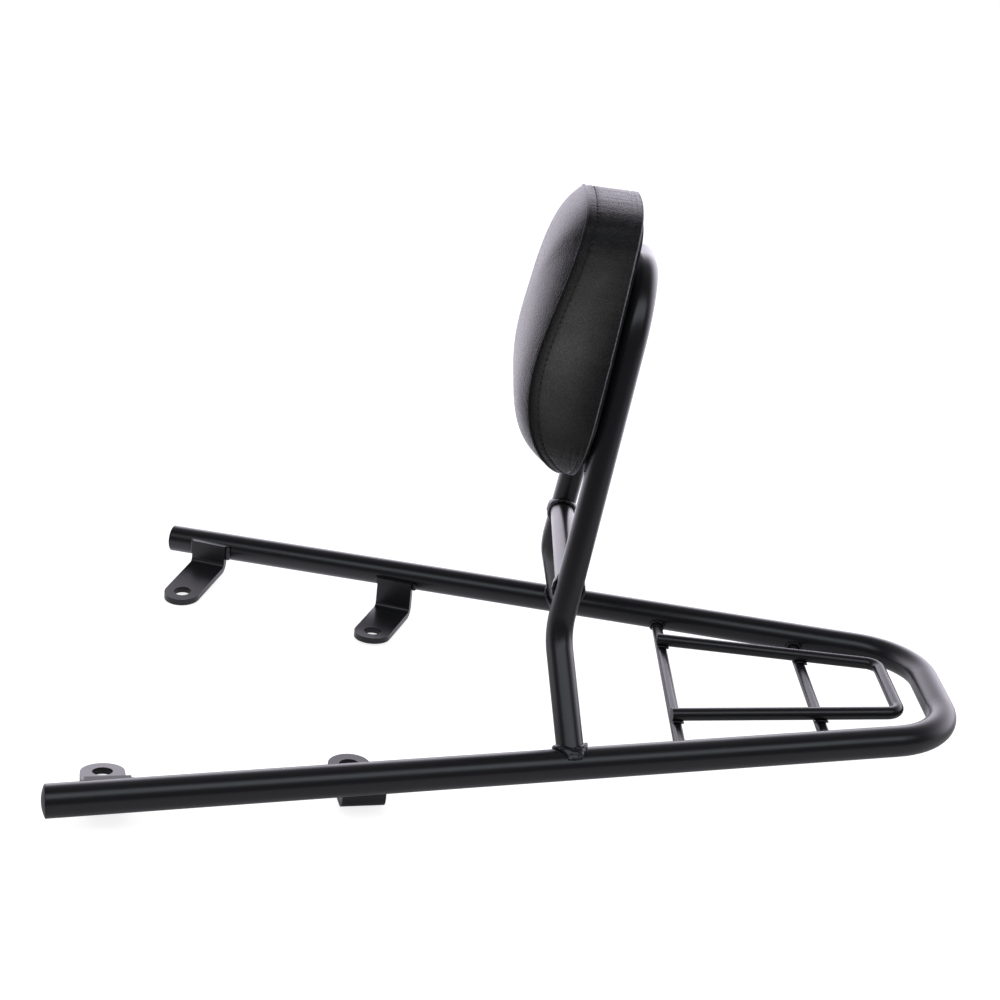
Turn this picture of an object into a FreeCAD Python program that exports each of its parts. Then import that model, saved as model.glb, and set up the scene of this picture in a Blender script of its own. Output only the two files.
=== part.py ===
import FreeCAD, Part
import math
import os

Vector = FreeCAD.Vector

# Frame: +X points to the rear of the scooter, +Y to its right side, +Z up.
# The origin is midway between the two front mounting holes, on the underside of their tabs. Millimetres.

# Mounting holes: a wide pair in front and a narrower pair behind it
front_hole_spacing = 318.0
rear_hole_spacing = 231.0
hole_pair_pitch = 164.0
hole_diameter = 14.0

# Mounting brackets, folded from flat bar with a round end
bracket_width = 30.0
bracket_thickness = 5.0
bracket_height = 30.0
bracket_reach = 56.5
bracket_fold_radius = 4.0
bracket_front_slope = 7.0
bracket_rear_slope = 0.0

# Main rail: one tube bent to a tapered U, open to the front
rail_diameter = 22.2
rail_wall = 2.0
rail_pitch = 2.5
rail_height = 23.0
rail_front = -20.0
rail_rear = 596.5
rail_bend_radius = 57.0

# Plugs in the front ends of the rail
plug_stem = 16.0
plug_rim = 1.2
plug_dome = 2.4
plug_clearance = 0.1

# Backrest hoop: one tube with splayed feet, a kink and a round top, seen from the rail plane
hoop_diameter = 19.0
hoop_wall = 2.0
hoop_station = 317.0
hoop_kink_height = 72.0
hoop_kink_forward = 13.2
hoop_kink_half = 87.0
hoop_kink_radius = 40.0
hoop_lean = 10.0
hoop_top_height = 251.5
hoop_top_half = 60.0
hoop_top_radius = 50.0
cross_tube_diameter = 18.0
cross_tube_height = 31.5

# Rack floor: two crossbars and a rod loop lying on them
crossbar_diameter = 8.5
crossbar_front_station = 396.0
crossbar_rear_station = 504.0
crossbar_drop = 5.5
loop_diameter = 9.5
loop_front_half = 66.0
loop_taper = 8.0
loop_overhang_length = 4.0
loop_rear = 563.0
loop_bend_radius = 11.0

# Weld beads
tube_weld = 3.0
rod_weld = 2.2
bracket_weld = 3.5
bracket_weld_share = 0.65

# Straps behind the pad, let in flush with the front of the hoop at shares of its height
strap_width = 25.0
strap_thickness = 4.0
strap_low_share = 0.5
strap_high_share = 0.74
strap_lap = 5.0

# Backrest pad, measured from the hoop's kink along the hoop and forward of it
pad_bottom = 95.5
pad_top = 293.8
pad_waist_height = 200.0
pad_waist_width = 158.0
pad_taper = 13.0
pad_chin_radius = 70.0
pad_brow_radius = 34.0
pad_back_round = 2.0
pad_crown_depth = 63.0
pad_crown_height = 200.0
pad_side_depth = 49.5
pad_brow_depth = 42.0
pad_brow_fall = 8.0
pad_chin_depth = 48.5
pad_chin_rise = 30.0
pad_chin_sag = 3.0
pad_foot_depth = 9.0

# Board inside the pad, its back cover and its fixings
cover_thickness = 2.2
cover_inset = 2.0
board_thickness = 10.0
board_inset = 20.0
board_clearance = 0.2
bolt_half_spacing = 30.0
bolt_diameter = 6.0
bolt_clearance = 0.3
bolt_head_flats = 10.0
bolt_head_height = 4.0
washer_diameter = 16.0
washer_thickness = 1.6
tee_barrel_diameter = 8.0
tee_flange_diameter = 19.0
tee_flange_thickness = 1.5
tee_tip = 2.0

# Worked out from the sizes above
rail_radius = rail_diameter / 2
hoop_radius = hoop_diameter / 2
cross_tube_radius = cross_tube_diameter / 2
crossbar_radius = crossbar_diameter / 2
loop_radius = loop_diameter / 2
taper = math.atan((front_hole_spacing - rear_hole_spacing) / 2 / hole_pair_pitch)
rail_half = front_hole_spacing / 2 + (bracket_reach + rail_radius) / math.cos(taper)
rail_slope = math.tan(taper) * math.cos(math.radians(rail_pitch))
crossbar_stations = (crossbar_front_station, crossbar_rear_station)
loop_front = crossbar_front_station - loop_overhang_length
loop_height = crossbar_radius + loop_radius - crossbar_drop
strap_heights = (strap_low_share * hoop_top_height, strap_high_share * hoop_top_height)
strap_back = hoop_radius - strap_thickness
pad_back = hoop_radius + cover_thickness
pad_slope = math.tan(math.radians(pad_taper))
UP = Vector(0, 0, 1)
NEAR = 0.01


def unit(v):
    """Direction of a vector."""
    return Vector(v).normalize()


def rod(start, end, radius):
    """Solid round bar from one point to another."""
    run = end - start
    return Part.makeCylinder(radius, run.Length, start, run)


def section(centre, direction, outer, bore):
    """Flat cross-section of a bar, or of a tube where there is a bore."""
    disc = Part.Face(Part.Wire(Part.makeCircle(outer, centre, direction)))
    if not bore:
        return disc
    return disc.cut(Part.Face(Part.Wire(Part.makeCircle(bore, centre, direction))))


def bent_bar(corners, bend_radii, outer, bore=0.0):
    """Bar or tube through the corners, each rounded by its own bend."""
    pieces = []
    start = corners[0]
    for before, corner, after, bend in zip(corners, corners[1:], corners[2:], bend_radii):
        into = unit(corner - before)
        out = unit(after - corner)
        turn = into.getAngle(out)
        setback = bend * math.tan(turn / 2)
        entry = corner - into * setback
        axis = unit(into.cross(out))
        centre = entry + axis.cross(into) * bend
        pieces.append(section(start, into, outer, bore).extrude(entry - start))
        pieces.append(section(entry, into, outer, bore).revolve(centre, axis, math.degrees(turn)))
        start = corner + out * setback
    last = corners[-1] - start
    pieces.append(section(start, unit(last), outer, bore).extrude(last))
    return pieces[0].multiFuse(pieces[1:]).removeSplitter()


def mirrored(shape):
    """The same shape on the other side of the rack."""
    return shape.mirror(Vector(0, 0, 0), Vector(0, 1, 0))


def both_sides(shape):
    """The right-hand shapes and their mirror images, as separate solids."""
    return Part.makeCompound(shape.Solids + mirrored(shape).Solids)


def from_rail_plane(shape):
    """Move a shape from the rail plane to the mounting frame, where the rail rises to the rear."""
    moved = shape.copy()
    moved.rotate(Vector(0, 0, 0), Vector(0, 1, 0), -rail_pitch)
    moved.translate(Vector(0, 0, rail_height))
    return moved


def from_hoop_plane(shape):
    """Move a shape from the leaning hoop plane to the mounting frame."""
    moved = shape.copy()
    moved.rotate(Vector(0, 0, 0), Vector(0, 1, 0), hoop_lean)
    moved.translate(Vector(hoop_station - hoop_kink_forward, 0, hoop_kink_height))
    return from_rail_plane(moved)


def rail_axis(station, side=1):
    """Point on the rail's axis, in the rail plane."""
    return Vector(station, side * (rail_half - rail_slope * station), 0)


def on_hoop(height, half):
    """Point of the hoop plane, given in the rail plane."""
    lean = math.radians(hoop_lean)
    x = hoop_station - hoop_kink_forward + height * math.sin(lean)
    return Vector(x, half, hoop_kink_height + height * math.cos(lean))


def leg_half(height):
    """Distance of the straight upper leg from the middle of the hoop."""
    return hoop_kink_half + (hoop_top_half - hoop_kink_half) * height / hoop_top_height


def saddle_bead(branch, branch_radius, main, main_radius, size):
    """Weld round a branch where it meets a main bar; each bar is given by two points."""
    collar = rod(branch[0], branch[1], branch_radius + size)
    skin = rod(main[0], main[1], main_radius + size)
    bead = collar.common(skin)
    return bead.cut([rod(branch[0], branch[1], branch_radius), rod(main[0], main[1], main_radius)])


def rounded_face(corners, radii):
    """Flat face with these corners, each rounded by its own radius."""
    bends = []
    for before, corner, after, radius in zip(corners[-1:] + corners, corners, corners[1:] + corners, radii):
        into = unit(corner - before)
        out = unit(after - corner)
        half_turn = into.getAngle(out) / 2
        setback = radius * math.tan(half_turn)
        middle = corner + unit(out - into) * radius * (1 / math.cos(half_turn) - 1)
        bends.append((corner - into * setback, middle, corner + out * setback))
    edges = []
    for bend, after in zip(bends, bends[1:] + bends):
        edges += [Part.Arc(*bend).toShape(), Part.makeLine(bend[2], after[0])]
    return Part.Face(Part.Wire(edges))


# Main rail and its plugs

def rail_corners():
    """Corner points of the rail from its right front end to its left front end."""
    return [rail_axis(rail_front), rail_axis(rail_rear), rail_axis(rail_rear, -1), rail_axis(rail_front, -1)]


def make_rail(bore):
    """The bent rail, hollow or filled."""
    return bent_bar(rail_corners(), [rail_bend_radius] * 2, rail_radius, bore)


def make_end_plug():
    """Push-in plug with a low dome, in the rail's right front end."""
    stem_radius = rail_radius - rail_wall - plug_clearance
    dome_radius = (rail_radius ** 2 + plug_dome ** 2) / (2 * plug_dome)
    halfway = math.asin(rail_radius / dome_radius) / 2
    top = Vector(0, 0, plug_rim + plug_dome)
    shoulder = top + Vector(math.sin(halfway), 0, math.cos(halfway) - 1) * dome_radius
    face = [
        Part.makeLine(Vector(0, 0, -plug_stem), Vector(stem_radius, 0, -plug_stem)),
        Part.makeLine(Vector(stem_radius, 0, -plug_stem), Vector(stem_radius, 0, 0)),
        Part.makeLine(Vector(stem_radius, 0, 0), Vector(rail_radius, 0, 0)),
        Part.makeLine(Vector(rail_radius, 0, 0), Vector(rail_radius, 0, plug_rim)),
        Part.Arc(Vector(rail_radius, 0, plug_rim), shoulder, top).toShape(),
        Part.makeLine(top, Vector(0, 0, -plug_stem)),
    ]
    plug = Part.Face(Part.Wire(face)).revolve(Vector(0, 0, 0), UP, 360)
    outwards = rail_axis(rail_front) - rail_axis(rail_rear)
    plug.Placement = FreeCAD.Placement(rail_axis(rail_front), FreeCAD.Rotation(UP, outwards))
    return plug


# Mounting brackets

def hole_centre(front):
    """Middle of the right-hand hole of the front or the rear pair."""
    if front:
        return Vector(0, front_hole_spacing / 2, 0)
    return Vector(hole_pair_pitch, rear_hole_spacing / 2, 0)


def place_bracket(shape, front):
    """Turn a bracket's shape square to the right-hand rail, with its hole in place."""
    moved = shape.copy()
    moved.translate(Vector(-bracket_reach, 0, 0))
    moved.rotate(Vector(0, 0, 0), UP, -90 - math.degrees(taper))
    moved.translate(hole_centre(front))
    return moved


def make_bracket(slope):
    """Bracket with its web against X = 0 and its tab falling along +X, with an upright hole."""
    inner = bracket_fold_radius
    outer = inner + bracket_thickness
    fall = math.radians(slope)
    along = Vector(math.cos(fall), 0, -math.sin(fall)) * (bracket_reach + bracket_width)
    below = Vector(-math.sin(fall), 0, -math.cos(fall))
    bend = unit(below + Vector(-1, 0, 0))
    height = (outer + (bracket_reach - outer) * math.sin(fall)) / math.cos(fall)
    centre = Vector(outer, 0, height)
    top = [Vector(0, 0, bracket_height), Vector(bracket_thickness, 0, bracket_height)]
    web = [Vector(0, 0, height), Vector(bracket_thickness, 0, height)]
    tab = [centre + below * outer, centre + below * inner]
    profile = [
        Part.makeLine(top[0], web[0]),
        Part.Arc(web[0], centre + bend * outer, tab[0]).toShape(),
        Part.makeLine(tab[0], tab[0] + along),
        Part.makeLine(tab[0] + along, tab[1] + along),
        Part.makeLine(tab[1] + along, tab[1]),
        Part.Arc(tab[1], centre + bend * inner, web[1]).toShape(),
        Part.makeLine(web[1], top[1]),
        Part.makeLine(top[1], top[0]),
    ]
    half = bracket_width / 2
    folded = Part.Face(Part.Wire(profile)).extrude(Vector(0, bracket_width, 0))
    folded.translate(Vector(0, -half, 0))
    deep = 2 * bracket_height
    blank = Part.makeBox(bracket_reach, bracket_width, deep, Vector(0, -half, -bracket_height))
    round_end = Part.makeCylinder(half, deep, Vector(bracket_reach, 0, -bracket_height))
    hole = Part.makeCylinder(hole_diameter / 2, deep, Vector(bracket_reach, 0, -bracket_height))
    return folded.common(blank.fuse(round_end).removeSplitter()).cut(hole).removeSplitter()


def make_bracket_beads(front, rail_core):
    """Upright welds beside both edges of a bracket's web, where it meets the rail."""
    station = hole_centre(front).x + (bracket_reach + rail_radius) * math.sin(taper)
    axis_height = rail_height + station * math.tan(math.radians(rail_pitch))
    low = axis_height - bracket_weld_share * rail_radius
    edge = Vector(0, bracket_width / 2, low)
    bead = Part.makeCylinder(bracket_weld, bracket_height - low, edge, UP, 180)
    return Part.makeCompound([place_bracket(b, front).cut(rail_core) for b in (bead, mirrored(bead))])


# Backrest hoop

def hoop_corners():
    """Corner points of the hoop from its right foot to its left foot."""
    half = [rail_axis(hoop_station), on_hoop(0, hoop_kink_half), on_hoop(hoop_top_height, hoop_top_half)]
    return half + [Vector(p.x, -p.y, p.z) for p in reversed(half)]


def make_hoop(bore):
    """The bent hoop, hollow or filled, with its feet reaching the rail's axis."""
    radii = [hoop_kink_radius, hoop_top_radius, hoop_top_radius, hoop_kink_radius]
    return bent_bar(hoop_corners(), radii, hoop_radius, bore)


def cross_tube_ends():
    """Points where the cross tube's axis meets the two legs."""
    half = leg_half(cross_tube_height)
    return [on_hoop(cross_tube_height, half), on_hoop(cross_tube_height, -half)]


def make_cross_tube(hoop_core):
    """Tube between the legs, with both ends shaped to them."""
    right, left = cross_tube_ends()
    bore = rod(right, left, cross_tube_radius - hoop_wall)
    return rod(right, left, cross_tube_radius).cut([bore, hoop_core])


def make_cross_tube_bead(hoop_core):
    """Weld round the right end of the cross tube."""
    right, left = cross_tube_ends()
    leg = [on_hoop(0, hoop_kink_half), on_hoop(hoop_top_height, hoop_top_half)]
    inner_end = right + unit(left - right) * 3 * hoop_radius
    return saddle_bead([right, inner_end], cross_tube_radius, leg, hoop_radius, tube_weld).cut(hoop_core)


def make_foot_bead():
    """Weld round the right foot of the hoop."""
    foot, kink = hoop_corners()[:2]
    branch = [foot, foot + unit(kink - foot) * 3 * rail_radius]
    main = [rail_axis(hoop_station - 3 * rail_diameter), rail_axis(hoop_station + 3 * rail_diameter)]
    return saddle_bead(branch, hoop_radius, main, rail_radius, tube_weld)


# Rack floor

def crossbar_ends(station):
    """Points inside the two rails where a crossbar's axis ends."""
    right = rail_axis(station) - UP * crossbar_drop
    return [right, Vector(right.x, -right.y, right.z)]


def loop_half(station):
    """Distance of the rod loop's legs from the middle."""
    return loop_front_half - (station - crossbar_front_station) * math.tan(math.radians(loop_taper))


def loop_point(station, side=1):
    """Point on the rod loop's axis, which lies on top of the crossbars."""
    return Vector(station, side * loop_half(station), loop_height)


def make_loop():
    """Rod bent to a narrow U, open to the front."""
    right = [loop_point(loop_front), loop_point(loop_rear)]
    left = [loop_point(loop_rear, -1), loop_point(loop_front, -1)]
    return bent_bar(right + left, [loop_bend_radius] * 2, loop_radius)


def make_crossbar_bead(station):
    """Weld round the right end of a crossbar, on the inner side of the rail."""
    right, left = crossbar_ends(station)
    branch = [right, right + unit(left - right) * 3 * rail_radius]
    main = [rail_axis(station - 3 * rail_diameter), rail_axis(station + 3 * rail_diameter)]
    return saddle_bead(branch, crossbar_radius, main, rail_radius, rod_weld)


def make_loop_bead(station):
    """Weld in the corners where the right leg of the loop lies on a crossbar."""
    leg = [loop_point(loop_front), loop_point(loop_rear - loop_bend_radius)]
    return saddle_bead(leg, loop_radius, crossbar_ends(station), crossbar_radius, rod_weld)


# Pad straps, in the hoop plane with X pointing back

def bolt_points():
    """Where the pad bolts pass through the hoop plane."""
    return [Vector(0, side * bolt_half_spacing, z) for z in strap_heights for side in (-1, 1)]


def through_holes(diameter, back, front):
    """Round holes on the bolt axes, from one depth to another, counted forward of the hoop plane."""
    along = Vector(-1, 0, 0)
    return [Part.makeCylinder(diameter / 2, front - back, p + along * back, along) for p in bolt_points()]


def make_strap(height, hoop_core):
    """Flat strap between the legs, with its ends shaped to them and two bolt holes."""
    half = leg_half(height) - strap_lap
    low = Vector(-hoop_radius, -half, height - strap_width / 2)
    strap = Part.makeBox(strap_thickness, 2 * half, strap_width, low)
    strap = strap.cut(through_holes(bolt_diameter + 2 * bolt_clearance, 0, pad_back))
    return from_hoop_plane(strap).cut(hoop_core)


def make_strap_bead(height, strap, hoop_core):
    """Weld behind the right end of a strap and along its upper and lower edge."""
    half = leg_half(height) - strap_lap
    size = Vector(strap_thickness + rod_weld, hoop_diameter, strap_width + 2 * rod_weld)
    low = Vector(-hoop_radius, half - hoop_diameter, height - size.z / 2)
    block = from_hoop_plane(Part.makeBox(size.x, size.y, size.z, low))
    leg = rod(on_hoop(0, hoop_kink_half), on_hoop(hoop_top_height, hoop_top_half), hoop_radius + rod_weld)
    return block.common(from_rail_plane(leg)).cut([strap, hoop_core])


# Pad, in the hoop plane with X pointing back

def pad_half(height, inset=0.0):
    """Distance of the pad's straight tapered side from the middle, drawn in by an inset."""
    drawn_in = inset / math.cos(math.radians(pad_taper))
    return pad_waist_width / 2 + (pad_waist_height - height) * pad_slope - drawn_in


def make_panel(inset, back, thickness):
    """Flat shield-shaped panel with the pad's outline drawn in by an inset."""
    low = pad_bottom + inset
    high = pad_top - inset
    corners = [Vector(-back, pad_half(low, inset), low), Vector(-back, pad_half(high, inset), high)]
    corners += [Vector(p.x, -p.y, p.z) for p in reversed(corners)]
    chin = pad_chin_radius - inset
    brow = pad_brow_radius - inset
    return rounded_face(corners, [chin, brow, brow, chin]).extrude(Vector(-thickness, 0, 0))


def side_profile():
    """Outline of the cushion seen from the side: flat back, falling top, crowned front, swept chin."""
    back = -pad_back
    brow = Vector(back - pad_brow_depth, 0, pad_top - pad_brow_fall)
    crown = Vector(back - pad_crown_depth, 0, pad_crown_height)
    chin = Vector(back - pad_chin_depth, 0, pad_bottom + pad_chin_rise)
    foot = Vector(back - pad_foot_depth, 0, pad_bottom)
    outwards = unit(Vector(-pad_chin_rise, 0, chin.x - foot.x))
    bulge = (chin + foot) * 0.5 + outwards * pad_chin_sag
    return Part.Face(Part.Wire([
        Part.makeLine(foot, Vector(back, 0, pad_bottom)),
        Part.makeLine(Vector(back, 0, pad_bottom), Vector(back, 0, pad_top)),
        Part.makeLine(Vector(back, 0, pad_top), brow),
        Part.Arc(brow, crown, chin).toShape(),
        Part.Arc(chin, bulge, foot).toShape(),
    ]))


def make_cushion():
    """Foam and its sewn cover as one soft solid, hollowed for the board and the tee nuts."""
    span = 2 * pad_half(pad_bottom)
    sides = side_profile().extrude(Vector(0, span, 0))
    sides.translate(Vector(0, -span / 2, 0))
    rise = pad_crown_depth - pad_side_depth
    crown_radius = ((pad_waist_width / 2) ** 2 + rise ** 2) / (2 * rise)
    middle = Vector(crown_radius - pad_back - pad_crown_depth, 0, pad_bottom)
    crown = Part.makeCylinder(crown_radius, pad_top - pad_bottom, middle)
    block = make_panel(0.0, pad_back, pad_crown_depth)
    rim = [e for e in block.Edges if e.BoundBox.XMin > -pad_back - NEAR]
    block = block.makeFillet(pad_back_round, rim)
    pocket = make_panel(board_inset - board_clearance, pad_back, board_thickness + board_clearance)
    flange_room = tee_flange_diameter + 2 * board_clearance
    front_of_board = pad_back + board_thickness
    nut_room = through_holes(flange_room, front_of_board, front_of_board + tee_flange_thickness + tee_tip)
    return block.common(sides).common(crown).cut([pocket] + nut_room)


def make_board():
    """Board in the back of the cushion, drilled for the tee nuts."""
    board = make_panel(board_inset, pad_back, board_thickness)
    return board.cut(through_holes(tee_barrel_diameter, pad_back, pad_back + board_thickness))


def make_cover():
    """Thin back cover between the pad and the hoop."""
    cover = make_panel(cover_inset, hoop_radius, cover_thickness)
    return cover.cut(through_holes(bolt_diameter + 2 * bolt_clearance, hoop_radius, pad_back))


def make_tee_nuts():
    """Tee nuts in the front of the board."""
    front_of_board = pad_back + board_thickness
    barrels = through_holes(tee_barrel_diameter, pad_back, front_of_board)
    flanges = through_holes(tee_flange_diameter, front_of_board, front_of_board + tee_flange_thickness)
    bores = through_holes(bolt_diameter, pad_back, front_of_board + tee_flange_thickness)
    nuts = [b.fuse(f).cut(h).removeSplitter() for b, f, h in zip(barrels, flanges, bores)]
    return Part.makeCompound(nuts)


def make_washers():
    """Washers behind the straps."""
    outer = through_holes(washer_diameter, strap_back - washer_thickness, strap_back)
    bores = through_holes(bolt_diameter + 2 * bolt_clearance, strap_back - washer_thickness, strap_back)
    return Part.makeCompound([o.cut(b) for o, b in zip(outer, bores)])


def make_bolts():
    """Hexagon bolts from behind, through strap, cover and board into the tee nuts."""
    under_head = strap_back - washer_thickness
    tip = pad_back + board_thickness + tee_flange_thickness + tee_tip / 2
    shanks = through_holes(bolt_diameter, under_head, tip)
    corner = bolt_head_flats / math.sqrt(3)
    bolts = []
    for point, shank in zip(bolt_points(), shanks):
        seat = point - Vector(under_head, 0, 0)
        corners = [seat + Vector(0, corner * math.cos(a), corner * math.sin(a))
                   for a in (math.radians(60 * i) for i in range(7))]
        head = Part.Face(Part.makePolygon(corners)).extrude(Vector(bolt_head_height, 0, 0))
        bolts.append(shank.fuse(head).removeSplitter())
    return Part.makeCompound(bolts)


def make_nodes():
    """Every piece of the rack by name, in the mounting frame."""
    rail_core = from_rail_plane(make_rail(0.0))
    hoop_core = from_rail_plane(make_hoop(0.0))
    plug = from_rail_plane(make_end_plug())
    hoop = from_rail_plane(make_hoop(hoop_radius - hoop_wall))
    nodes = {
        "main_rail": from_rail_plane(make_rail(rail_radius - rail_wall)),
        "rail_end_plug_right": plug,
        "rail_end_plug_left": mirrored(plug),
        "backrest_hoop": hoop.cut(rail_core),
        "hoop_foot_welds": both_sides(from_rail_plane(make_foot_bead())),
        "hoop_cross_tube": from_rail_plane(make_cross_tube(make_hoop(0.0))),
        "cross_tube_welds": both_sides(from_rail_plane(make_cross_tube_bead(make_hoop(0.0)))),
        "rack_loop": from_rail_plane(make_loop()),
    }

    bracket_beads = []
    for place, slope in (("front", bracket_front_slope), ("rear", bracket_rear_slope)):
        bracket = place_bracket(make_bracket(slope), place == "front")
        nodes["mount_bracket_%s_right" % place] = bracket
        nodes["mount_bracket_%s_left" % place] = mirrored(bracket)
        bracket_beads += make_bracket_beads(place == "front", rail_core).Solids
    nodes["bracket_welds"] = both_sides(Part.makeCompound(bracket_beads))

    crossbar_beads = []
    loop_beads = []
    for place, station in zip(("front", "rear"), crossbar_stations):
        bar = from_rail_plane(rod(*crossbar_ends(station), crossbar_radius))
        nodes["rack_crossbar_%s" % place] = bar.cut(rail_core)
        crossbar_beads += make_crossbar_bead(station).Solids
        loop_beads += make_loop_bead(station).Solids
    nodes["crossbar_welds"] = both_sides(from_rail_plane(Part.makeCompound(crossbar_beads)))
    nodes["loop_welds"] = both_sides(from_rail_plane(Part.makeCompound(loop_beads)))

    strap_beads = []
    for place, height in zip(("lower", "upper"), strap_heights):
        strap = make_strap(height, hoop_core)
        nodes["pad_strap_%s" % place] = strap
        strap_beads += make_strap_bead(height, strap, hoop_core).Solids
    nodes["strap_welds"] = both_sides(Part.makeCompound(strap_beads))

    nodes["pad_cushion"] = from_hoop_plane(make_cushion())
    nodes["pad_board"] = from_hoop_plane(make_board())
    nodes["pad_back_cover"] = from_hoop_plane(make_cover())
    nodes["pad_tee_nuts"] = from_hoop_plane(make_tee_nuts())
    nodes["pad_washers"] = from_hoop_plane(make_washers())
    nodes["pad_bolts"] = from_hoop_plane(make_bolts())
    return nodes


os.makedirs("parts", exist_ok=True)
for name, shape in make_nodes().items():
    shape.exportStep("parts/%s.step" % name)
    print("%-26s solids %d  volume %10.1f mm3  valid %s" %
          (name, len(shape.Solids), shape.Volume, shape.isValid()))
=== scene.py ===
"""Looks of a scooter rear rack: coated tube frame, weld beads and a padded vinyl backrest."""

import logging
import math
from collections.abc import Sequence
from dataclasses import dataclass
from enum import Enum

import bmesh
import bpy
from mathutils import Matrix, Vector, geometry, noise
from mathutils.bvhtree import BVHTree


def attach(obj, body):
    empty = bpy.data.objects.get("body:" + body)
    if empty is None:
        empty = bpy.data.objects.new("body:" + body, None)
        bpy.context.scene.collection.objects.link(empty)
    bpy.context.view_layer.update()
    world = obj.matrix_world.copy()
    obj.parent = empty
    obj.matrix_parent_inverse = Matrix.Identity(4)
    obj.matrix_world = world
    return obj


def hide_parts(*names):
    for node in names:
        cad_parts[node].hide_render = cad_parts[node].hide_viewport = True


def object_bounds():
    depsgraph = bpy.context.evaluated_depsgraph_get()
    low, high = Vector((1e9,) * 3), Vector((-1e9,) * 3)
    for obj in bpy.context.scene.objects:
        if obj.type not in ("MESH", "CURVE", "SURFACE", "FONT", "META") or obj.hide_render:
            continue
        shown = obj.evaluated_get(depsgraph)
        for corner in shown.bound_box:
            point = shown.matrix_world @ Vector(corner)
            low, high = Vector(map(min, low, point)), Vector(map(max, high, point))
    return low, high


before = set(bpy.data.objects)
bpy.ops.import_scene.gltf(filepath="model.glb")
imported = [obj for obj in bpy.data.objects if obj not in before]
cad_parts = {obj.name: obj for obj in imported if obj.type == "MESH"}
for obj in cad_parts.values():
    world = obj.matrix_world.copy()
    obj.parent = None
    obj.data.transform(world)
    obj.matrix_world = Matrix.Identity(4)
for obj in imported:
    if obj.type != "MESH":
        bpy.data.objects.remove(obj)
CAD_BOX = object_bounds()
MM = 0.001
MERGE_DISTANCE = 0.001 * MM
HALVINGS = 40
BODY = "root"
log = logging.getLogger("rear_rack")


def linear(colour: str) -> tuple[float, float, float, float]:
    """Turn an sRGB hex colour into linear values.

    Args:
        colour: Six hex digits after a hash sign.

    Returns:
        Red, green, blue and an alpha of one.
    """
    values = [int(colour[i:i + 2], 16) / 255 for i in (1, 3, 5)]
    parts = [v / 12.92 if v <= 0.04045 else ((v + 0.055) / 1.055) ** 2.4 for v in values]
    return (parts[0], parts[1], parts[2], 1.0)


def per_metre(size_mm: float) -> float:
    """Texture scale that repeats a feature of this size, in millimetres."""
    return 1.0 / (size_mm * MM)


def add_node(tree: bpy.types.NodeTree, kind: str, settings: dict | None = None,
             links: dict | None = None) -> bpy.types.Node:
    """Add a node with its settings and links.

    Args:
        tree: Node tree that takes the node.
        kind: Blender's name of the node type.
        settings: Values by property name, or by input name or number.
        links: Sockets by the name or number of the input they feed.

    Returns:
        The new node.
    """
    node = tree.nodes.new(kind)
    for key, value in (settings or {}).items():
        if isinstance(key, str) and hasattr(node, key):
            setattr(node, key, value)
        else:
            node.inputs[key].default_value = value
    for key, socket in (links or {}).items():
        tree.links.new(socket, node.inputs[key])
    return node


def new_material(name: str) -> tuple[bpy.types.Material, bpy.types.NodeTree]:
    """Start a material with an empty node tree.

    Args:
        name: Name of the finish.

    Returns:
        The material and its tree.
    """
    made = bpy.data.materials.new(name)
    made.use_nodes = True
    made.node_tree.nodes.clear()
    return made, made.node_tree


class Slot(Enum):
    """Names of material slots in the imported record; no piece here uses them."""

    POWDER_COAT = "powder_coat"
    COVER_PLASTIC = "cover_plastic"
    VINYL = "vinyl"


def new_piece(name: str, shape: bmesh.types.BMesh, finish: bpy.types.Material) -> bpy.types.Object:
    """Turn a bmesh into a smooth piece that rides on the rack.

    Args:
        name: Name of the piece.
        shape: Finished shape in metres, freed here.
        finish: Its material.

    Returns:
        The new object.
    """
    mesh = bpy.data.meshes.new(name)
    shape.to_mesh(mesh)
    shape.free()
    mesh.shade_smooth()
    mesh.materials.append(finish)
    piece = bpy.data.objects.new(name, mesh)
    bpy.context.scene.collection.objects.link(piece)
    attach(piece, BODY)
    log.info("%s: %d faces", name, len(mesh.polygons))
    return piece


@dataclass(frozen=True)
class PowderCoat:
    """Satin black polyester powder coat, sprayed and baked on steel tube."""

    colour: str = "#131315"
    roughness: float = 0.30
    roughness_spread: float = 0.04
    peel_mm: float = 2.6
    peel_depth_mm: float = 0.010
    cloud_mm: float = 45.0

    def material(self) -> bpy.types.Material:
        """Black skin with a soft gloss, a faint orange peel and slightly uneven sheen."""
        made, tree = new_material("powder_coat_satin_black")
        place = add_node(tree, "ShaderNodeTexCoord").outputs["Object"]
        peel = add_node(tree, "ShaderNodeTexNoise", {"Scale": per_metre(self.peel_mm), "Detail": 2.0},
                        {"Vector": place})
        cloud = add_node(tree, "ShaderNodeTexNoise", {"Scale": per_metre(self.cloud_mm), "Detail": 3.0},
                         {"Vector": place})
        sheen = add_node(tree, "ShaderNodeMapRange",
                         {"To Min": self.roughness - self.roughness_spread,
                          "To Max": self.roughness + self.roughness_spread},
                         {"Value": cloud.outputs["Fac"]})
        bump = add_node(tree, "ShaderNodeBump", {"Strength": 1.0, "Distance": self.peel_depth_mm * MM},
                        {"Height": peel.outputs["Fac"]})
        shader = add_node(tree, "ShaderNodeBsdfPrincipled",
                          {"Base Color": linear(self.colour), "IOR": 1.5},
                          {"Roughness": sheen.outputs["Result"], "Normal": bump.outputs["Normal"]})
        add_node(tree, "ShaderNodeOutputMaterial", links={"Surface": shader.outputs["BSDF"]})
        return made


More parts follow.
